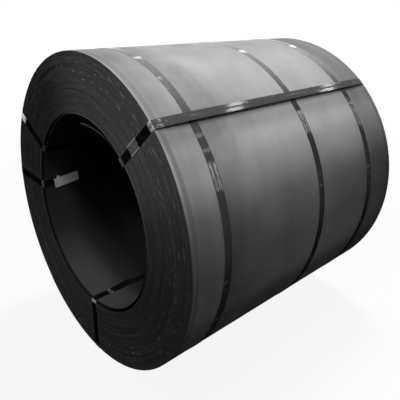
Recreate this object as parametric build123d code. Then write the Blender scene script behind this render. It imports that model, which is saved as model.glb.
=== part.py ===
from build123d import *
from math import asin, cos, degrees, radians, sin, sqrt
import os

os.makedirs("parts", exist_ok=True)

# Strip of hot rolled sheet, wound on a 762 mm mandrel and lying with its eye along X
SHEET_WIDTH = 1200.0
SHEET_THICKNESS = 3.0
WRAP_COUNT = 75
EYE_RADIUS = 381.0

# Inner wrap: set back from both ends, and sprung clear of the main wraps near the ends
INNER_SET_BACK = 6.0
RIM_GAP = 11.0
RIM_GAP_DEPTH = 40.0

# Bands of wraps that wandered on the mandrel: first and last wrap, and depth below the end face
WANDERED_BANDS = ((14, 17, 2.0), (28, 30, 3.0), (44, 50, 2.5), (57, 60, 4.0))

# Ends of the strip: angles round the coil, from the far side over the top, and the gap behind the lead end
LEAD_GAP = 8.0
LEAD_TIP_ANGLE = 89.0
LEAD_MERGE_ANGLE = 130.0
LEAD_RECESS_ANGLE = 36.0
TAIL_ANGLE = -50.0
TAIL_RUN_OUT_ANGLE = -12.0

# Steel strapping, and the seals folded and crimped over its overlapped ends
STRAP_WIDTH = 32.0
GIRTH_STRAP_THICKNESS = 0.8
EYE_STRAP_THICKNESS = 0.7
STRAP_OVERLAP = 120.0
SEAL_LENGTH = 58.0
SEAL_WIDTH = 37.0
SEAL_WALL = 0.9
SEAL_SIDE_CLEARANCE = 0.6
CRIMP_LENGTH = 7.0
CRIMP_DEPTH = 1.3
CRIMP_SPACING = 24.0

# Girth straps: centre of each as a share of the sheet width from the front, with the seals on the far side
GIRTH_PLACES = {"front": 0.126, "middle": 0.552, "rear": 0.847}
GIRTH_SEAL_ANGLE = 16.0

# Eye straps: angle of each round the coil, and the end face that carries its seal
EYE_STRAP_ANGLES = {"upper_right": 134.0, "upper_left": 30.0, "left": 2.5, "bottom": -90.0}
FACE_SEAL_ENDS = {"upper_right": -1, "upper_left": 1, "left": 1}
FACE_SEAL_PLACE = 0.42

# Outer run of an eye strap: folded up from the edges, with the upper right strap slack over the girth straps
STRAP_FOLD_FROM_EDGE = 56.0
SLACK = 4.0

# Sealless joint of the bottom strap in the eye, its upper layer skew until its corner nears the wall
BOTTOM_JOINT_FROM_FRONT = 70.0
SKEW_CORNER_CLEARANCE = 1.5

# Plain tag on the left strap in the eye
TAG_LENGTH = 118.0
TAG_WIDTH = 45.0
TAG_THICKNESS = 0.3
TAG_FROM_FRONT = 57.0

# Values that follow from the sizes above
HALF_WIDTH = SHEET_WIDTH / 2
HALF_STRAP = STRAP_WIDTH / 2
RIM_RADIUS = EYE_RADIUS + SHEET_THICKNESS + RIM_GAP
COIL_RADIUS = RIM_RADIUS + WRAP_COUNT * SHEET_THICKNESS
GIRTH_TOP = COIL_RADIUS + GIRTH_STRAP_THICKNESS
AXIS_HEIGHT = GIRTH_TOP + EYE_STRAP_THICKNESS
FACE_SEAL_RADIUS = RIM_RADIUS + FACE_SEAL_PLACE * (COIL_RADIUS - RIM_RADIUS)


def flat_seat(radius, half_width):
    """Distance from the axis at which a flat piece of this half width meets a round wall from inside."""
    return sqrt(radius**2 - half_width**2)


EYE_STRAP_SEAT = flat_seat(EYE_RADIUS, HALF_STRAP)
EYE_STRAP_FACE = EYE_STRAP_SEAT - EYE_STRAP_THICKNESS


def at(radius, angle):
    """Point in the Y Z plane at a radius and an angle round the coil."""
    return Vector(0, radius * cos(radians(angle)), radius * sin(radians(angle)))


def arc(radius_from, angle_from, radius_to, angle_to):
    """Arc round the coil from one radius and angle to another."""
    middle = at((radius_from + radius_to) / 2, (angle_from + angle_to) / 2)
    return ThreePointArc(at(radius_from, angle_from), middle, at(radius_to, angle_to))


def spoke(radius_from, radius_to, angle):
    """Radial line at one angle."""
    return Line(at(radius_from, angle), at(radius_to, angle))


def along_axis(outline, width):
    """Solid of an outline in the Y Z plane, drawn out to both sides along the axis."""
    return extrude(outline, amount=width / 2, dir=(1, 0, 0), both=True)


def ring(inner, outer, width):
    """Plain ring about the axis."""
    return along_axis(Plane.YZ * (Circle(outer) - Circle(inner)), width)


def turned(shape, angle):
    """A piece drawn at the top of the coil, turned to its angle round the coil."""
    return Rot(X=angle - 90) * shape


def save(shape, node):
    """Write a piece, raised so that the strapped coil rests on the floor."""
    export_step(Pos(0, 0, AXIS_HEIGHT) * shape, f"parts/{node}.step")


def seal(strap_thickness):
    """Seal folded over two layers of strap and crimped twice, lying along X on Z = 0."""
    inside_height = 2 * strap_thickness
    height = inside_height + SEAL_WALL
    inside_width = STRAP_WIDTH + 2 * SEAL_SIDE_CLEARANCE
    body = Pos(0, 0, height / 2) * Box(SEAL_LENGTH, SEAL_WIDTH, height)
    body -= Pos(0, 0, inside_height / 2) * Box(SEAL_LENGTH, inside_width, inside_height)
    for along in (-CRIMP_SPACING / 2, CRIMP_SPACING / 2):
        for side in (-SEAL_WIDTH / 2, SEAL_WIDTH / 2):
            body -= Pos(along, side, 0) * Box(CRIMP_LENGTH, 2 * CRIMP_DEPTH, 3 * height)
    return body


def eye_band(lift):
    """Eye strap drawn at the top: over the outside, down both end faces and flat along the eye."""
    fold = HALF_WIDTH - STRAP_FOLD_FROM_EDGE
    rim_seat = flat_seat(RIM_RADIUS, HALF_STRAP)
    inner_end = HALF_WIDTH - INNER_SET_BACK
    right_side = [
        (fold, GIRTH_TOP + lift),
        (HALF_WIDTH, COIL_RADIUS),
        (HALF_WIDTH, rim_seat),
        (inner_end, EYE_STRAP_SEAT),
    ]
    left_side = [(-x, r) for x, r in reversed(right_side)]
    wrapped = make_face(Polyline(*right_side, *left_side, close=True))
    band = offset(wrapped, amount=EYE_STRAP_THICKNESS, kind=Kind.ARC) - wrapped
    return extrude(Plane.XZ * band, amount=HALF_STRAP, both=True)


# Coil: the main wraps, and the inner wrap joined to them between the gaps at the ends
lead_back = EYE_RADIUS + SHEET_THICKNESS
coil = ring(RIM_RADIUS, COIL_RADIUS, SHEET_WIDTH)
coil += ring(EYE_RADIUS, RIM_RADIUS, SHEET_WIDTH - 2 * RIM_GAP_DEPTH)
coil += ring(EYE_RADIUS, lead_back, SHEET_WIDTH - 2 * INNER_SET_BACK)

# Bands of wraps that lie below the end faces
for first_wrap, last_wrap, depth in WANDERED_BANDS:
    band_inner = RIM_RADIUS + first_wrap * SHEET_THICKNESS
    band_outer = RIM_RADIUS + last_wrap * SHEET_THICKNESS
    for end in (-HALF_WIDTH, HALF_WIDTH):
        coil -= Pos(end, 0, 0) * ring(band_inner, band_outer, 2 * depth)

# Lead end of the strip at the top of the eye: the step beside its tip and the gap behind it
next_wrap = lead_back + LEAD_GAP
inside_eye = EYE_RADIUS - SHEET_THICKNESS
lead_outline = [
    arc(EYE_RADIUS, LEAD_RECESS_ANGLE, next_wrap, LEAD_TIP_ANGLE),
    arc(next_wrap, LEAD_TIP_ANGLE, lead_back, LEAD_MERGE_ANGLE),
    arc(lead_back, LEAD_MERGE_ANGLE, lead_back, LEAD_TIP_ANGLE),
    spoke(lead_back, inside_eye, LEAD_TIP_ANGLE),
    arc(inside_eye, LEAD_TIP_ANGLE, inside_eye, LEAD_RECESS_ANGLE),
    spoke(inside_eye, EYE_RADIUS, LEAD_RECESS_ANGLE),
]
coil -= along_axis(make_face(lead_outline), SHEET_WIDTH)

# Tail end of the strip low on the far side: a step of one sheet that runs out along the wall
tail_foot = COIL_RADIUS - SHEET_THICKNESS
outside_coil = COIL_RADIUS + SHEET_THICKNESS
tail_outline = [
    arc(tail_foot, TAIL_ANGLE, COIL_RADIUS, TAIL_RUN_OUT_ANGLE),
    spoke(COIL_RADIUS, outside_coil, TAIL_RUN_OUT_ANGLE),
    arc(outside_coil, TAIL_RUN_OUT_ANGLE, outside_coil, TAIL_ANGLE),
    spoke(outside_coil, tail_foot, TAIL_ANGLE),
]
coil -= along_axis(make_face(tail_outline), SHEET_WIDTH)
save(coil, "coil")

# Girth straps: each a band round the coil, with its overlapped end and its seal
overlap_half = degrees(STRAP_OVERLAP / 2 / COIL_RADIUS)
overlap_from = GIRTH_SEAL_ANGLE - overlap_half
overlap_to = GIRTH_SEAL_ANGLE + overlap_half
overlap_top = GIRTH_TOP + GIRTH_STRAP_THICKNESS
girth_outline = [
    arc(overlap_top, overlap_from, overlap_top, overlap_to),
    spoke(overlap_top, GIRTH_TOP, overlap_to),
    arc(GIRTH_TOP, overlap_to, GIRTH_TOP, overlap_from + 360),
    spoke(GIRTH_TOP, overlap_top, overlap_from),
]
girth_strap = along_axis(make_face(girth_outline) - Plane.YZ * Circle(COIL_RADIUS), STRAP_WIDTH)
girth_seal_seat = Plane(origin=(0, 0, COIL_RADIUS), x_dir=(0, 1, 0), z_dir=(0, 0, 1))
girth_seal = turned(girth_seal_seat * seal(GIRTH_STRAP_THICKNESS), GIRTH_SEAL_ANGLE)
for place, share in GIRTH_PLACES.items():
    along = Pos(share * SHEET_WIDTH - HALF_WIDTH, 0, 0)
    save(along * girth_strap, f"girth_strap_{place}")
    save(along * girth_seal, f"girth_seal_{place}")

# Eye straps with a seal on an end face, where their overlapped end lies along the radius
slack_band = eye_band(SLACK)
tight_band = eye_band(0)
face_layer = Box(EYE_STRAP_THICKNESS, STRAP_WIDTH, STRAP_OVERLAP)
for place, end in FACE_SEAL_ENDS.items():
    band = slack_band if place == "upper_right" else tight_band
    layer_x = end * (HALF_WIDTH + 1.5 * EYE_STRAP_THICKNESS)
    eye_strap = band + Pos(layer_x, 0, FACE_SEAL_RADIUS) * face_layer
    save(turned(eye_strap, EYE_STRAP_ANGLES[place]), f"eye_strap_{place}")
    seal_seat = Plane(origin=(end * HALF_WIDTH, 0, FACE_SEAL_RADIUS), x_dir=(0, 0, 1), z_dir=(end, 0, 0))
    save(turned(seal_seat * seal(EYE_STRAP_THICKNESS), EYE_STRAP_ANGLES[place]), f"eye_seal_{place}")

# Bottom eye strap, which the coil rests on, with its overlapped joint in the eye
skew_reach = sqrt(EYE_RADIUS**2 - EYE_STRAP_FACE**2) - SKEW_CORNER_CLEARANCE
joint_skew = degrees(asin((skew_reach - HALF_STRAP) / STRAP_OVERLAP))
joint_layer = Pos(STRAP_OVERLAP / 2, 0, 0) * Box(STRAP_OVERLAP, STRAP_WIDTH, EYE_STRAP_THICKNESS)
joint_seat = Pos(BOTTOM_JOINT_FROM_FRONT - HALF_WIDTH, 0, EYE_STRAP_FACE - EYE_STRAP_THICKNESS / 2)
bottom_strap = tight_band + joint_seat * (Rot(Z=-joint_skew) * joint_layer)
save(turned(bottom_strap, EYE_STRAP_ANGLES["bottom"]), "eye_strap_bottom")

# Tag on the left eye strap, held off the wall where it is wider than the strap
tag_seat = min(EYE_STRAP_FACE, flat_seat(EYE_RADIUS, TAG_WIDTH / 2))
tag_x = TAG_FROM_FRONT + TAG_LENGTH / 2 - HALF_WIDTH
tag = Pos(tag_x, 0, tag_seat - TAG_THICKNESS / 2) * Box(TAG_LENGTH, TAG_WIDTH, TAG_THICKNESS)
save(turned(tag, EYE_STRAP_ANGLES["left"]), "eye_tag")
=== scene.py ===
from math import atan2, cos, degrees, hypot, pi, radians, sin

import bmesh
import bpy
from mathutils import Matrix, Vector, noise


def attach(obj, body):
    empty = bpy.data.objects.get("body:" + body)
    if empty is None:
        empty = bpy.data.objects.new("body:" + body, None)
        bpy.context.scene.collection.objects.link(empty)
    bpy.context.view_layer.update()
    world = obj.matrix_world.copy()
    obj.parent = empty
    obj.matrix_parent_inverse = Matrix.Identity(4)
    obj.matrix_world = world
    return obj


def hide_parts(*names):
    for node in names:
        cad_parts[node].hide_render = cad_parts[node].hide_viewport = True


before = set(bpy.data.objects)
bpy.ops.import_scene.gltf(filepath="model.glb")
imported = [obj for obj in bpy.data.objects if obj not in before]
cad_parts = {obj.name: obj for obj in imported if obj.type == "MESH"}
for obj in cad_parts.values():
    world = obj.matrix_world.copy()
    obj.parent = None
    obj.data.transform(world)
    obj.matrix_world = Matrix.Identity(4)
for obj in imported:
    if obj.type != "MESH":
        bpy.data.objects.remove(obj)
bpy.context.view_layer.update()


# The coil is one strip of hot rolled steel sheet, wound tight on a mandrel, with its mill edges on both ends.
# Its cross-section is copied for every wrap and spun round the axis, and each wrap runs out to join the next.
# The lead end springs into the eye at the top, and the tail end lies low on the far side.
axis = Vector((0, 0, 0.6215))
sheet_width, sheet_thickness = 1.200, 0.003
end_face = sheet_width / 2
eye_radius, rim_radius = 0.381, 0.395
wrap_count, steps_per_turn = 75, 96
coil_radius = rim_radius + wrap_count * sheet_thickness
steel_share, corner_round = 0.98, 0.0005
lead_tip, lead_free_until, lead_spring = 89.0, 131.0, 0.021
rim_settles_from = 36.0
tail_end, tail_window = 310.0, 38.0
first_angle = tail_end + tail_window - 360
half_step = 180 / steps_per_turn
inner_set_back, unevenness = 0.006, 0.0004
wandered_bands = ((14, 17, 0.0007), (28, 30, 0.0009), (44, 50, 0.0008), (57, 60, 0.0012))


def ease(value, start, end):
    """Smooth rise from 0 at start to 1 at end."""
    share = min(max((value - start) / (end - start), 0), 1)
    return share * share * (3 - 2 * share)


def wall_radius(wrap, angle):
    """Inner radius of a wrap: the inner wrap lies on the eye, and the others on the rim."""
    if wrap == 0:
        seated = min((angle - lead_tip) / (lead_free_until - lead_tip), 1)
        return eye_radius - lead_spring * (0.5 + 0.5 * cos(pi * seated))
    run_out = (wrap - 1) * sheet_thickness + sheet_thickness * ease(angle, tail_end, tail_end + tail_window)
    settle = ease(angle, rim_settles_from, lead_tip) if wrap == 1 else 1
    return eye_radius + (rim_radius - eye_radius) * settle + run_out


def set_back(turns, angle, end):
    """How far the strip's edge lies below the end face after so many turns."""
    depth = inner_set_back * (1 - ease(turns, 1.13, 1.28))
    for first, last, band_depth in wandered_bands:
        depth += band_depth * (ease(turns, first + 0.9, first + 1.2) - ease(turns, last + 0.9, last + 1.2))
    around = Vector((1.3 * cos(radians(angle)), 1.3 * sin(radians(angle)), 0.9 * turns + 50 * end))
    wavering = (1 + noise.noise(around)) * (1 + 0.5 * noise.noise(Vector((0.35 * turns, end, 7))))
    return depth + unevenness * wavering


def verts_of(geom):
    """The vertices among what an operator made."""
    return [part for part in geom if isinstance(part, bmesh.types.BMVert)]


def smooth(bm, sharp_from):
    """Shade a mesh smooth, apart from the edges that bend by so many degrees or more."""
    for face in bm.faces:
        face.smooth = True
    for edge in bm.edges:
        edge.smooth = edge.calc_face_angle(0) < radians(sharp_from)


bm = bmesh.new()
bmesh.ops.create_grid(bm, x_segments=1, y_segments=1, size=0.5)
bmesh.ops.scale(bm, vec=(sheet_width, steel_share * sheet_thickness, 1), verts=bm.verts)
bmesh.ops.bevel(
    bm, geom=bm.verts[:], offset=corner_round, segments=1, profile=0.5, affect="VERTICES", material=-1
)
bmesh.ops.delete(bm, geom=bm.faces[:], context="FACES_ONLY")
section = bm.verts[:] + bm.edges[:]
for wrap in range(1, wrap_count + 1):
    copied = verts_of(bmesh.ops.duplicate(bm, geom=section)["geom"])
    bmesh.ops.translate(bm, vec=(0, rim_radius + (wrap - 0.5) * sheet_thickness, 0), verts=copied)
bmesh.ops.translate(bm, vec=(0, eye_radius + 0.5 * sheet_thickness, 0), verts=verts_of(section))
bmesh.ops.translate(bm, vec=axis, verts=bm.verts)
turn_to_start = Matrix.Rotation(radians(first_angle), 3, "X")
bmesh.ops.rotate(bm, cent=axis, matrix=turn_to_start, verts=bm.verts)
sections = bm.verts[:] + bm.edges[:]
spun = bmesh.ops.spin(
    bm, geom=sections, cent=axis, axis=(1, 0, 0), angle=2 * pi, steps=steps_per_turn, use_merge=False
)
last_row = set(verts_of(spun["geom_last"]))
unwound = []
for v in bm.verts:
    across, up = v.co.y, v.co.z - axis.z
    radius, angle = hypot(across, up), degrees(atan2(up, across))
    if v in last_row:
        angle = first_angle + 360
    elif angle < first_angle - half_step:
        angle += 360
    wrap = int((radius - rim_radius) / sheet_thickness) + 1 if radius > rim_radius else 0
    before_lead = wrap == 0 and angle < lead_tip
    past_tail = wrap == wrap_count and angle > tail_end + half_step
    if before_lead or past_tail:
        unwound.append(v)
        continue
    at_rest = eye_radius if wrap == 0 else rim_radius + (wrap - 1) * sheet_thickness
    radius += wall_radius(wrap, angle) - at_rest
    v.co.y = radius * cos(radians(angle))
    v.co.z = radius * sin(radians(angle)) + axis.z
    end = 1 if v.co.x > 0 else -1
    v.co.x -= end * set_back(wrap + (angle - first_angle) / 360, angle, end)
bmesh.ops.delete(bm, geom=unwound, context="VERTS")
bmesh.ops.remove_doubles(bm, verts=bm.verts, dist=0.00001)
bmesh.ops.holes_fill(bm, edges=[e for e in bm.edges if e.is_boundary], sides=0)
bmesh.ops.recalc_face_normals(bm, faces=bm.faces)
smooth(bm, 30)
for face in bm.faces:
    face.material_index = 1 if abs(face.normal.x) > 0.5 else 0


class Shade:
    """A value in a material: sums, products and powers of values become its Math nodes."""

    def __init__(self, tree, output=None):
        self.tree, self.output = tree, output

    def node(self, kind, settings=None, inputs=None, output=0):
        """What a new node gives, with its settings set first and then the values or links of its sockets."""
        made = self.tree.nodes.new(kind)
        for name, setting in (settings or {}).items():
            setattr(made, name, setting)
        for name, value in (inputs or {}).items():
            if isinstance(value, Shade):
                self.tree.links.new(value.output, made.inputs[name])
            else:
                made.inputs[name].default_value = value
        return Shade(self.tree, made.outputs[output])

    def beside(self, output):
        """Another output of the node that gives this value."""
        return Shade(self.tree, self.output.node.outputs[output])

    def maths(self, operation, first, second=0.0):
        return self.node("ShaderNodeMath", {"operation": operation}, {0: first, 1: second})

    def __add__(self, other):
        return self.maths("ADD", self, other)

    def __radd__(self, other):
        return self.maths("ADD", other, self)

    def __sub__(self, other):
        return self.maths("SUBTRACT", self, other)

    def __rsub__(self, other):
        return self.maths("SUBTRACT", other, self)

    def __mul__(self, other):
        return self.maths("MULTIPLY", self, other)

    def __rmul__(self, other):
        return self.maths("MULTIPLY", other, self)

    def __pow__(self, other):
        return self.maths("POWER", self, other)

    def __abs__(self):
        return self.maths("ABSOLUTE", self)

    def rises(self, start, end):
        """0 below start, 1 above end, and a smooth rise between them."""
        settings = {"interpolation_type": "SMOOTHSTEP"}
        return self.node("ShaderNodeMapRange", settings, {"Value": self, "From Min": start, "From Max": end})

    def towards(self, direction):
        """How far a place lies in a direction."""
        settings = {"operation": "DOT_PRODUCT"}
        return self.node("ShaderNodeVectorMath", settings, {0: self, 1: direction}, "Value")

    def between(self, dark, light):
        """Colour from dark at 0 to light at 1."""
        inputs = {0: self, 6: (*dark, 1), 7: (*light, 1)}
        return self.node("ShaderNodeMix", {"data_type": "RGBA"}, inputs, output=2)


def grey(level):
    """A neutral colour."""
    return (level, level, level)


def finish_of(name, **constants):
    """A new material: its principled shader with constant sockets set, and the place on the object."""
    material = bpy.data.materials.new(name)
    material.use_nodes = True
    tree = material.node_tree
    shader = tree.nodes["Principled BSDF"]
    for socket, value in constants.items():
        shader.inputs[socket.replace("_", " ")].default_value = value
    place = Shade(tree).node("ShaderNodeTexCoord", output="Object")
    return material, shader, place


def feed(shader, **values):
    """Link values to a shader's sockets."""
    for socket, value in values.items():
        value.tree.links.new(value.output, shader.inputs[socket.replace("_", " ")])


def grain(place, scale, detail=3.0, stretch=(1, 1, 1)):
    """Cloudy noise from 0 to 1 over the object's own place, finer along an axis with more stretch."""
    mapped = place.node("ShaderNodeMapping", inputs={"Vector": place, "Scale": stretch})
    return place.node("ShaderNodeTexNoise", inputs={"Vector": mapped, "Scale": scale, "Detail": detail})


def drawn_grain(across, around, along, detail):
    """Cloudy noise that is drawn out round the coil."""
    spot = along.node("ShaderNodeCombineXYZ", inputs={"X": across, "Y": around, "Z": along})
    return along.node("ShaderNodeTexNoise", inputs={"Vector": spot, "Scale": 1.0, "Detail": detail})


def round_coil(place):
    """Place along the coil's axis, distance from it, angle round it and the sine of that angle."""
    along = place.node("ShaderNodeSeparateXYZ", inputs={"Vector": place}, output="X")
    across, up = along.beside("Y"), along.beside("Z") - axis.z
    angle = place.maths("ARCTAN2", up, across)
    return along, (across * across + up * up) ** 0.5, angle, place.maths("SINE", angle)


def mill_scale():
    """Scale on the sheet's two faces: cloudy, with dust and painted light and shade on the outside, and
    painted dark as shade in the eye.
    """
    scale, shader, place = finish_of(
        "mill_scale", Metallic=0.0, Specular_IOR_Level=0.0, Coat_IOR=1.3, Coat_Roughness=0.42
    )
    along, radius, angle, height = round_coil(place)
    outside = radius.rises(0.55, 0.60)
    from_middle = abs(along)
    front_strip = 1 - along.rises(-0.48, -0.43)
    near_side = 1 - place.maths("COSINE", angle).rises(-0.4, 0.2)

    # The edges of the strip carry a painted highlight above and painted shade below, with a dim band inside
    # them.
    painted_edge_highlight = from_middle.rises(0.5935, 0.5960) * height.rises(0.35, 0.80)
    painted_edge_shade = from_middle.rises(0.5915, 0.5965) * (1 - height.rises(-0.20, 0.40))
    dim_band = from_middle.rises(0.566, 0.578) * (1 - from_middle.rises(0.584, 0.592))

    # The scale itself is cloudy, streaked along the strip and lighter over the middle of its width.
    clouds = grain(place, 3.4, 3.5)
    rolled = grain(place, 6.0, 1.5, (1.0, 0.06, 0.06))
    mottle = grain(place, 13.0, 3.0, (1.0, 0.6, 0.6))
    streaks = grain(place, 60.0, 2, (1.0, 0.04, 0.04))
    specks = grain(place, 420.0, 2)
    wander = along + 0.16 * (clouds - 0.5)
    tone = 0.44 * clouds + 0.28 * rolled + 0.14 * mottle + 0.06 * streaks + 0.08 * specks
    tone = tone - 0.20 + 0.37 * wander.rises(-0.42, -0.26) - 0.32 * wander.rises(0.36, 0.48)
    # Painted light: the front strip is lighter in tone.
    tone = tone + 0.11 * front_strip - 0.12 * dim_band
    tone = tone.rises(0.28, 0.80) * 0.75 * (1 - 0.9 * painted_edge_shade) + 0.2 * painted_edge_highlight

    # Painted light and shade by height, partly dust: lighter on the upper slopes and on the lower side,
    # darker at the crown, with painted shadow below the slack strap, painted shade down the flanks, at the
    # dim band low down and along the bottom, and painted light on the front strip below its upper slopes.
    dust_and_painted_light = 0.77 + 0.48 * height.rises(0.20, 0.50) + 0.20 * height.rises(0.47, 0.55)
    dust_and_painted_light = dust_and_painted_light - 0.31 * height.rises(0.565, 0.76) - 0.24 * height.rises(0.90, 0.995)
    dust_and_painted_light = dust_and_painted_light - 0.40 * near_side * height.rises(0.565, 0.64) * (1 - height.rises(0.66, 0.76))
    dust_and_painted_light = dust_and_painted_light + 0.30 * (1 - height.rises(-0.20, -0.02)) - 0.55 * (1 - height.rises(-0.42, -0.24))
    flank = height.rises(-0.15, 0.05) * (1 - height.rises(0.22, 0.42))
    behind_strip = (1 - front_strip) * (1 - along.rises(-0.32, -0.16))
    painted_flank_shade = flank * (0.25 * behind_strip + 0.28 * along.rises(0.02, 0.22))
    painted_flank_shade = painted_flank_shade + 0.30 * dim_band * (1 - height.rises(0.55, 0.72))
    dust_and_painted_light = dust_and_painted_light * (1 + 0.40 * front_strip * (1 - height.rises(0.42, 0.55)) - painted_flank_shade)

    # In the eye the scale is painted dark as shade, with painted light on the floor and toward both mouths,
    # lighter along the middle too, and painted shade in the gap at the rim and at the very ends.
    eye_painted_light = 0.28 + 0.72 * from_middle.rises(0.40, 0.53) + 0.50 * (1 - from_middle.rises(0.20, 0.34))
    eye_painted_light = eye_painted_light * (0.55 + 1.55 * (1 - height.rises(-1.08, -0.40)))
    eye_painted_light = eye_painted_light * (1 - 0.7 * radius.rises(0.383, 0.388)) * (1 - 0.6 * from_middle.rises(0.591, 0.593))

    wall = outside * (0.64 * (0.35 + 0.75 * tone) * (1 - 0.7 * painted_edge_shade) * dust_and_painted_light + 0.09)
    bump = {"Height": specks + 2 * streaks, "Strength": 0.05, "Distance": 0.001}
    feed(
        shader,
        Base_Color=(wall + 0.09 * (1 - outside) * eye_painted_light).between(grey(0.01), grey(0.80)),
        Coat_Weight=outside * (0.04 + 0.08 * clouds) * height.rises(-0.40, 0.20),
        Normal=place.node("ShaderNodeBump", inputs=bump),
    )
    return scale


def mill_edge():
    """The strip's rough edges: rings of tone, short rubbed dashes, a painted highlight on the first wrap of
    the rim, and painted light toward the upper right and at the bottom.
    """
    edge, shader, place = finish_of("mill_edge", Roughness=0.6, Specular_IOR_Level=0.0)
    along, radius, angle, height = round_coil(place)
    wrap_tone = drawn_grain(radius * 170, angle * 2.2, along * 2, 2.0).rises(0.30, 0.72)
    group_tone = drawn_grain(radius * 55, angle * 0.9, along * 2, 1.0).rises(0.35, 0.70)
    dashes = drawn_grain(radius * 190, angle * 14, along * 2, 1.0).rises(0.62, 0.72)
    worn = dashes * (0.25 + 0.75 * radius.rises(0.50, 0.53) * (1 - radius.rises(0.580, 0.605)))
    rim = 1 - abs(radius - (rim_radius + 0.5 * sheet_thickness)).rises(0.0010, 0.0030)
    # The first wrap of the rim carries a painted highlight, strongest toward the top.
    tone = 0.06 + 0.09 * wrap_tone + 0.06 * group_tone + 0.5 * worn + 0.35 * rim * height.rises(-0.25, 0.30)
    # Painted light: the ends are lighter toward the upper right and at the bottom.
    painted_top_light = place.maths("COSINE", angle - radians(115)).rises(0.55, 0.95)
    shade = 0.74 + 0.62 * painted_top_light + 0.2 * (1 - height.rises(-0.8, -0.3))
    feed(shader, Base_Color=(shade * (0.135 + 0.865 * tone)).between(grey(0), grey(0.47)))
    return edge


def piece(name, bm, *materials):
    """A finished piece from its bmesh, with its place in its mesh."""
    mesh = bpy.data.meshes.new(name)
    bm.to_mesh(mesh)
    bm.free()
    for material in materials:
        mesh.materials.append(material)
    made = bpy.data.objects.new(name, mesh)
    bpy.context.scene.collection.objects.link(made)
    return made


coil = piece("coil_wraps", bm, mill_scale(), mill_edge())
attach(coil, "root")
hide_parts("coil")


# The girth straps are bands of steel strapping, pulled tight round the outside and sealed on the far side.
# They are black enamelled, with a groove pressed along the middle, and have flaked to bare steel in places;
# the lighter patches low on the near side are painted reflections.
girth_places = {"front": -0.4488, "middle": 0.0624, "rear": 0.4164}
outer_bend_radius = coil_radius + 0.001


def strapping(name, over, centre, folds=(), flakes_and_painted_reflections=(), pressed=1.0, painted_light_outside=0.085, painted_top_light=0.25):
    """Enamel of a strap whose middle lies at centre in the direction over, with flakes and painted
    reflections between pairs of angles.

    A fold is its place along the axis, its reach, and how far its outer and inner bends are rubbed bare and
    lit with a painted glint.
    """
    enamel, shader, place = finish_of(name, Specular_IOR_Level=0.0, Coat_IOR=1.13, Coat_Roughness=0.07)
    along, radius, angle, height = round_coil(place)
    off_middle = abs(place.towards(over) - centre)
    outside = radius.rises(0.610, 0.618)
    # Dust and painted light: the tops of the outer runs are lighter.
    dust_and_painted_light = outside * height.rises(0.62, 0.94)
    scuffs = grain(place, 45.0, 4).rises(0.60, 0.75)
    ragged = grain(place, 90.0, 2)
    bare_and_painted_glints = (0.08 + 0.27 * outside) * scuffs
    # Bends are lighter as rubbed bare steel and as painted glints.
    for fold, reach, outer, inner in folds:
        bend = 1 - abs(along - fold).rises(0.3 * reach, reach)
        outer_bend = outer * (1 - abs(radius - outer_bend_radius).rises(0.010 * outer, 0.024 * outer))
        inner_bend = inner * (1 - abs(radius - eye_radius).rises(0.010, 0.024))
        bare_and_painted_glints = place.maths("MAXIMUM", bare_and_painted_glints, bend * (outer_bend + inner_bend) * ragged.rises(0.25, 0.55))
    drawn = drawn_grain(off_middle * 330, angle * 26, along * 9, 2.0).rises(0.42, 0.68)
    beside_groove = off_middle.rises(0.0008, 0.0032) * (1 - off_middle.rises(0.0128, 0.0152))
    jagged = angle + 0.05 * (ragged - 0.5)
    # Between each pair of angles the strap is lighter: flakes of bare steel, and painted reflections low on
    # the near side.
    for start, end in flakes_and_painted_reflections:
        begins = jagged.rises(radians(start), radians(start + 1.5))
        stops = jagged.rises(radians(end - 1.5), radians(end))
        flake_and_painted_reflection = begins * (1 - stops) * beside_groove
        bare_and_painted_glints = place.maths("MAXIMUM", bare_and_painted_glints, flake_and_painted_reflection * (0.25 + 0.70 * drawn))
    groove = pressed * (1 - off_middle.rises(0.0, 0.003))
    duller_behind = 1 - 0.5 * along.rises(-0.2, 0.3) * (1 - height.rises(0.75, 0.95))
    waves = grain(place, 11.0, 2)
    bump = {"Height": waves - 2 * groove, "Strength": 0.03 + 0.09 * pressed, "Distance": 0.002}
    # Painted light: the outer runs get a lighter base than the runs on the ends and in the eye, and their
    # tops are lighter still as dust and painted light.
    feed(
        shader,
        Base_Color=(painted_light_outside * outside + painted_top_light * dust_and_painted_light + 0.8 * bare_and_painted_glints).between(grey(0.012), grey(0.62)),
        Metallic=0.4 * bare_and_painted_glints,
        Roughness=0.30 + 0.2 * scuffs,
        Coat_Weight=outside * (1 - bare_and_painted_glints) * height.rises(-0.15, 0.30) * duller_behind,
        Normal=place.node("ShaderNodeBump", inputs=bump),
    )
    return enamel


for strap, painted_light_outside, painted_top_light, flakes_and_painted_reflections in (
    ("front", 0.120, 0.24, [(149, 159), (20, 31), (-75, -68)]),
    ("middle", 0.065, 0.38, [(140.5, 150), (48, 58)]),
    ("rear", 0.060, 0.54, [(142, 153), (40, 47), (-40, -33)]),
):
    enamel = strapping(
        "girth_paint_" + strap, (1, 0, 0), girth_places[strap], flakes_and_painted_reflections=flakes_and_painted_reflections, painted_light_outside=painted_light_outside, painted_top_light=painted_top_light
    )
    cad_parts["girth_strap_" + strap].material_slots[0].material = enamel


# The eye straps go through the eye and back over the outside, bent sharply at both edges of each end.
# They are the same black strapping, rubbed bare at the bends with painted glints there, and they cross the
# girth straps on the outside.
# The bottom one is joined without a seal, and its joint in the eye is rubbed too.
eye_angles = {"upper_right": 134.0, "upper_left": 30.0, "left": 2.5, "bottom": -90.0}
bend_place, joint_place = end_face + 0.001, -0.520


def outward(angle):
    """Straight out from the coil's axis at an angle in degrees."""
    return Vector((0, cos(radians(angle)), sin(radians(angle))))


def onward(angle):
    """Round the coil's axis at an angle in degrees."""
    return Vector((0, -sin(radians(angle)), cos(radians(angle))))


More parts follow.
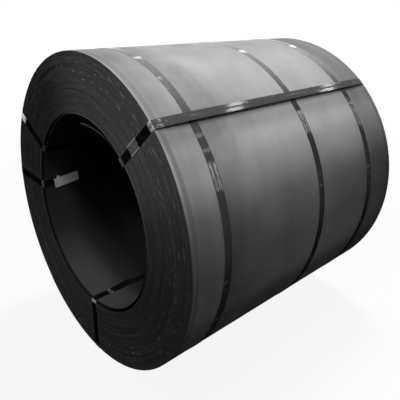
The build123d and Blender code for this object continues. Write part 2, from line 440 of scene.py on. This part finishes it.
rear_bend = (bend_place, 0.006, 1.0, 0.6)
for strap, folds in (
    ("upper_left", [(-bend_place, 0.009, 2.4, 0.2), rear_bend]),
    ("left", [(-bend_place, 0.006, 0.6, 0.35), rear_bend]),
    ("bottom", [(-bend_place, 0.006, 0.6, 1.0), rear_bend, (joint_place, 0.012, 0.0, 0.7)]),
):
    over = onward(eye_angles[strap])
    enamel = strapping("eye_paint_" + strap, over, over.dot(axis), folds)
    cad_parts["eye_strap_" + strap].material_slots[0].material = enamel


# The upper right eye strap is slack over the outside: it lifts off behind its bends and runs a little askew.
# It is one closed loop of the same strapping, and the groove along its middle is pressed into its mesh.
outer_seat, inner_seat, loop_length = 0.62115, 0.38031, 1.2008
strap_thickness, strap_bend, groove_depth = 0.0007, 0.003, 0.0005
lift_at_bends, lift_between, askew_at_front = 0.0050, 0.0026, 0.0165
strap_steps = (0.0012, 0.0106, 0.0012, 0.0030, 0.0030, 0.0012, 0.0106, 0.0012)


def set_in_place(bm, middle, *directions):
    """Turn a mesh's own x, y and z to three directions, and move it to its middle."""
    turn = Matrix(directions).transposed().to_4x4()
    bmesh.ops.transform(bm, matrix=Matrix.Translation(middle) @ turn, verts=bm.verts)


bm = bmesh.new()
bmesh.ops.create_grid(bm, x_segments=1, y_segments=1, size=0.5)
bmesh.ops.delete(bm, geom=bm.faces[:], context="FACES_ONLY")
bmesh.ops.scale(bm, vec=(loop_length, outer_seat - inner_seat, 1), verts=bm.verts)
bmesh.ops.rotate(bm, cent=(0, 0, 0), matrix=Matrix.Rotation(pi / 2, 3, "X"), verts=bm.verts)
bmesh.ops.translate(bm, vec=(0, -0.5 * sum(strap_steps), (outer_seat + inner_seat) / 2), verts=bm.verts)
bmesh.ops.bevel(
    bm, geom=bm.verts[:], offset=strap_bend, segments=3, profile=0.5, affect="VERTICES", material=-1
)
long_runs = [e for e in bm.edges if e.calc_length() > 1]
bmesh.ops.subdivide_edges(bm, edges=long_runs, cuts=95)
end_runs = [e for e in bm.edges if abs(e.verts[0].co.z - e.verts[1].co.z) > 0.1]
bmesh.ops.subdivide_edges(bm, edges=end_runs, cuts=12)
front_line = bm.edges[:]
for step in strap_steps:
    swept = bmesh.ops.extrude_edge_only(bm, edges=front_line)["geom"]
    front_line = [part for part in swept if isinstance(part, bmesh.types.BMEdge)]
    bmesh.ops.translate(bm, vec=(0, step, 0), verts=verts_of(swept))
bmesh.ops.recalc_face_normals(bm, faces=bm.faces)
groove_line = [(v, v.normal.copy()) for v in bm.verts if abs(v.co.y) < 0.001]
for v, out in groove_line:
    v.co -= groove_depth * out
for v in bm.verts:
    from_end = end_face - abs(v.co.x)
    if v.co.z > coil_radius - 0.010:
        rise = min(max(from_end, 0) / 0.05, 1.25)
        lift = lift_at_bends * (rise - max(rise - 0.75, 0) ** 2)
        v.co.z += lift + lift_between * ease(from_end, 0.05, 0.16)
    askew = askew_at_front * (0.5 - v.co.x / sheet_width)
    v.co.y += askew * min(max((v.co.z - inner_seat) / (outer_seat - inner_seat), 0), 1)
bmesh.ops.solidify(bm, geom=bm.faces[:], thickness=strap_thickness)
bmesh.ops.recalc_face_normals(bm, faces=bm.faces)
smooth(bm, 7)
over = onward(eye_angles["upper_right"])
set_in_place(bm, axis, Vector((1, 0, 0)), over, outward(eye_angles["upper_right"]))
slack_folds = [(-bend_place, 0.006, 1.0, 0.4), rear_bend]
slack_paint = strapping("slack_paint", over, over.dot(axis), slack_folds, pressed=0.0)
slack_strap = piece("slack_strap", bm, slack_paint)
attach(slack_strap, "root")
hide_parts("eye_strap_upper_right")


# The seals are clips of sheet steel folded round the two ends of each strap, lips outward, and crimped twice.
# They are dull zinc, brighter along the two folded edges.
seal_length, seal_width, seal_height, seal_round = 0.058, 0.037, 0.0023, 0.0009
crimp_place, crimp_half, crimp_from, crimp_pinch, crimp_press = 0.012, 0.0035, 0.0150, 0.0013, 0.0004
lip_edge, slit_width, slit_depth = 0.0115, 0.0008, 0.0008
eye_seal_radius, girth_seal_angle = 0.4895, 16.0


def divide(bm, point, normal):
    """Cut a mesh's faces along a plane and keep both sides."""
    whole = bm.verts[:] + bm.edges[:] + bm.faces[:]
    bmesh.ops.bisect_plane(bm, geom=whole, plane_co=point, plane_no=normal)


def seal_zinc(name, across, centre):
    """Zinc of a seal whose middle lies at centre in the direction across."""
    zinc, shader, place = finish_of(name, IOR=1.25)
    # Painted highlight: the zinc is lighter and more metallic along the two folded edges.
    fold = abs(place.towards(across) - centre).rises(0.0140, 0.0172)
    spangle = grain(place, 160.0, 2)
    feed(
        shader,
        Base_Color=(0.2 * spangle.rises(0.35, 0.7) + 0.8 * fold).between(grey(0.055), grey(0.55)),
        Metallic=0.10 + 0.3 * fold,
        Roughness=0.30 + 0.15 * spangle,
    )
    return zinc


def seal(name, middle, lengthwise, out):
    """A crimped clip round a strap that runs lengthwise, standing out from its middle."""
    bm = bmesh.new()
    bmesh.ops.create_cube(bm, size=1)
    bmesh.ops.scale(bm, vec=(seal_length, seal_width, seal_height), verts=bm.verts)
    folds = [e for e in bm.edges if abs(e.verts[0].co.x - e.verts[1].co.x) > 0.01]
    bmesh.ops.bevel(bm, geom=folds, offset=seal_round, segments=3, profile=0.5, affect="EDGES", material=-1)
    for side in (-1, 1):
        for part in (-1, 0, 1):
            divide(bm, (side * (crimp_place + part * crimp_half), 0, 0), (1, 0, 0))
    for side in (-1, 1):
        for line in (lip_edge, lip_edge + slit_width, crimp_from):
            divide(bm, (0, side * line, 0), (0, 1, 0))
    slits = [
        f for f in bm.faces
        if f.normal.z > 0.9 and lip_edge < abs(f.calc_center_median().y) < lip_edge + slit_width
    ]
    for v in {v for f in slits for v in f.verts if abs(v.co.y) < lip_edge + 0.5 * slit_width}:
        v.co.z -= slit_depth
    for v in bm.verts:
        if abs(v.co.y) > crimp_from - 0.0002 and abs(abs(v.co.x) - crimp_place) < 0.5 * crimp_half:
            v.co.y -= crimp_pinch if v.co.y > 0 else -crimp_pinch
            v.co.z -= crimp_press if v.co.z > 0 else 0
    bmesh.ops.recalc_face_normals(bm, faces=bm.faces)
    smooth(bm, 32)
    across = out.cross(lengthwise)
    set_in_place(bm, middle, lengthwise, across, out)
    clip = piece(name + "_clip", bm, seal_zinc(name + "_zinc", across, across.dot(middle)))
    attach(clip, "root")
    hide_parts(name)


for strap, end, shift in (("upper_right", -1, 0.0072), ("upper_left", 1, 0.0), ("left", 1, 0.0)):
    out, over = outward(eye_angles[strap]), onward(eye_angles[strap])
    on_face = Vector((end * (end_face + 0.5 * seal_height), 0, 0))
    middle = axis + on_face + eye_seal_radius * out + shift * over
    lean = (out + shift / (eye_seal_radius - inner_seat) * over).normalized()
    seal("eye_seal_" + strap, middle, lean, Vector((end, 0, 0)))
for strap, along in girth_places.items():
    out = outward(girth_seal_angle)
    middle = axis + Vector((along, 0, 0)) + (coil_radius + 0.5 * seal_height) * out
    seal("girth_seal_" + strap, middle, onward(girth_seal_angle), out)


# The tag is a thin plain plate, held askew on the left eye strap by a small tab, just inside the eye.
# It is pale coated metal with a little grime.
tag_length, tag_width, tag_sheet, tag_round, tag_tilt = 0.118, 0.045, 0.0006, 0.003, radians(7.0)
tag_place, tag_seat = -0.490, 0.3790
tab_start, tab_end, tab_length = -0.045, -0.032, 0.010
bm = bmesh.new()
bmesh.ops.create_grid(bm, x_segments=1, y_segments=1, size=0.5)
bmesh.ops.scale(bm, vec=(tag_length, tag_width, 1), verts=bm.verts)
for cut in (tab_start, tab_end):
    divide(bm, (cut, 0, 0), (1, 0, 0))
tab_root = [
    e for e in bm.edges
    if all(v.co.y > 0.02 and tab_start - 0.001 < v.co.x < tab_end + 0.001 for v in e.verts)
]
tab = verts_of(bmesh.ops.extrude_edge_only(bm, edges=tab_root)["geom"])
bmesh.ops.translate(bm, vec=(0, tab_length, 0), verts=tab)
corners = [v for v in bm.verts if len(v.link_edges) == 2]
bmesh.ops.bevel(bm, geom=corners, offset=tag_round, segments=3, profile=0.5, affect="VERTICES", material=-1)
bmesh.ops.solidify(bm, geom=bm.faces[:], thickness=tag_sheet)
bmesh.ops.recalc_face_normals(bm, faces=bm.faces)
bmesh.ops.rotate(bm, cent=(0, 0, 0), matrix=Matrix.Rotation(tag_tilt, 3, "Z"), verts=bm.verts)
inward = -outward(eye_angles["left"])
middle = axis + Vector((tag_place, 0, 0)) - tag_seat * inward
set_in_place(bm, middle, Vector((1, 0, 0)), onward(eye_angles["left"]), inward)
tag_coat, shader, place = finish_of("tag_coat", Specular_IOR_Level=0.2)
grime = grain(place, 30.0, 4)
feed(
    shader,
    Base_Color=grime.rises(0.4, 0.75).between((0.97, 0.97, 0.96), (0.86, 0.86, 0.85)),
    Roughness=0.4 + 0.2 * grime,
)
tag = piece("tag_plate", bm, tag_coat)
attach(tag, "root")
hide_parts("eye_tag")


# The camera stands where the photo was taken, off the front end on the near side and just above the top.
# Its lens is shifted, so that the coil lies in the frame as it does in the photo.
camera = bpy.data.objects.new("camera", bpy.data.cameras.new("camera"))
bpy.context.scene.collection.objects.link(camera)
camera.data.lens, camera.data.sensor_width = 41.06, 36
camera.data.shift_x, camera.data.shift_y = 0.0097, -0.0856
camera.location = (-1.3661, -1.4887, 1.3653)
turn, tilt = 0.7321, -0.3237
looking = Vector((sin(turn) * cos(tilt), cos(turn) * cos(tilt), sin(tilt)))
camera.rotation_euler = looking.to_track_quat("-Z", "Y").to_euler()
bpy.context.scene.camera = camera


# The hall light is a wide soft source high behind the rear end, with a lamp and two fills near the camera.
# A few rows of small ceiling lamps draw bright glints along the enamelled straps.
ceiling = 5.6


def lamp(name, place, size, watts, aim=(0, 0, 0.62)):
    """A rectangular lamp that shines at the coil."""
    light = bpy.data.lights.new(name, "AREA")
    light.shape = "RECTANGLE"
    light.size, light.size_y = size
    light.energy = watts
    made = bpy.data.objects.new(name, light)
    bpy.context.scene.collection.objects.link(made)
    made.location = place
    made.rotation_euler = (Vector(aim) - Vector(place)).to_track_quat("-Z", "Y").to_euler()


lamp("roof_light", (4.4, 2.2, 12.0), (3.2, 3.5), 1120)
lamp("overhead_lamp", (-1.6, -1.05, 3.7), (0.5, 0.5), 29)
lamp("front_fill", (-1.75, -1.0, 2.6), (0.5, 0.5), 5)
lamp("low_fill", (-0.4, -2.2, 1.25), (1.2, 0.4), 0.8)
lamp("near_lamp", (1.83, -1.88, ceiling), (0.14, 0.14), 4)
for along, across in ((4.55, -1.58), (7.5, -1.58)):
    lamp("long_lamp", (along, across, ceiling), (0.24, 0.24), 10)
for along, across in ((4.15, -3.4), (7.4, -3.4), (9.85, -3.6), (5.2, -5.1)):
    lamp("ceiling_lamp", (along, across, ceiling), (0.3, 0.3), 6)
for along, across in ((4.75, 5.6), (7.45, 4.9), (10.0, 5.4)):
    lamp("far_lamp", (along, across, ceiling), (0.5, 0.5), 6)


# The floor and the surroundings are white where the camera and the shiny straps see them.
# They send almost no light back to the coil, so that its lower side stays dark.
floor_reach = 8.0


def seen_rays(place):
    """1 for what the camera and shiny or clear surfaces see, and 0 for the light on dull ones."""
    camera_ray = place.node("ShaderNodeLightPath", output="Is Camera Ray")
    seen = place.maths("MAXIMUM", camera_ray, camera_ray.beside("Is Glossy Ray"))
    return place.maths("MAXIMUM", seen, camera_ray.beside("Is Transmission Ray"))


bm = bmesh.new()
bmesh.ops.create_grid(bm, x_segments=1, y_segments=1, size=floor_reach)
floor_paint, shader, place = finish_of("floor_paint", Roughness=0.9)
seen = seen_rays(place)
feed(shader, Base_Color=seen.between(grey(0.02), grey(0.9)))
away = place.node("ShaderNodeVectorMath", {"operation": "LENGTH"}, {0: place}, "Value")
whiteness = (0.90 + 0.10 * away.rises(1.5, 5.0)) * seen
painted = Shade(place.tree, shader.outputs["BSDF"])
glow = place.node("ShaderNodeEmission", inputs={"Color": (1, 1, 1, 1), "Strength": 1.0})
mixed = place.node("ShaderNodeMixShader", inputs={0: whiteness, 1: painted, 2: glow})
feed(place.tree.nodes["Material Output"], Surface=mixed)
floor = piece("floor", bm, floor_paint)

world = bpy.data.worlds.new("surroundings")
world.use_nodes = True
bpy.context.scene.world = world
background = world.node_tree.nodes["Background"]
background.inputs["Color"].default_value = (1, 1, 1, 1)
feed(background, Strength=0.012 + 0.988 * seen_rays(Shade(world.node_tree)))

bpy.context.scene.view_settings.view_transform = "Standard"
